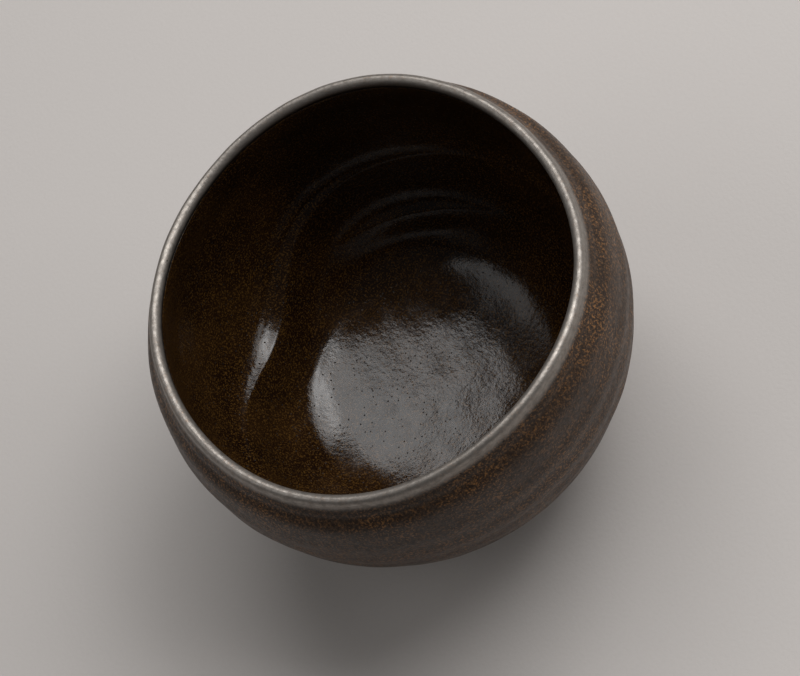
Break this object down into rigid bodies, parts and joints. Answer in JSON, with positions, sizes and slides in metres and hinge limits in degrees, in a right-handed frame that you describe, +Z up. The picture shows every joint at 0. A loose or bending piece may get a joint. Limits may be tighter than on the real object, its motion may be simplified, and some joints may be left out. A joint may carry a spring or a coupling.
{
  "type": "tea bowl",
  "caption": "Round hand-formed tea bowl with a stepped inner wall, a rolled lip, two glaze coats and a luted foot ring.",
  "frame": {"origin": "centre of the foot ring's underside, which stands on the table", "axes": "+Z up along the bowl's axis; the inner step is lowest near 126 degrees from +X towards +Y"},
  "size_m": [0.1204, 0.1195, 0.0825],
  "materials": {
    "bare_clay": "matt, unglazed brown stoneware",
    "foot_clay": "matt, unglazed, worn smooth where it stands",
    "satin_outer_glaze": "satin brown glaze with rust speckle, greyer over the lip",
    "dark_inner_glaze": "glossy near-black brown glaze with amber speckle and pinholes"
  },
  "bodies": {
    "root": {"clay_body": "bare_clay", "foot_ring": "foot_clay", "outer_glaze": "satin_outer_glaze", "inner_glaze": "dark_inner_glaze"}
  },
  "joints": []
}
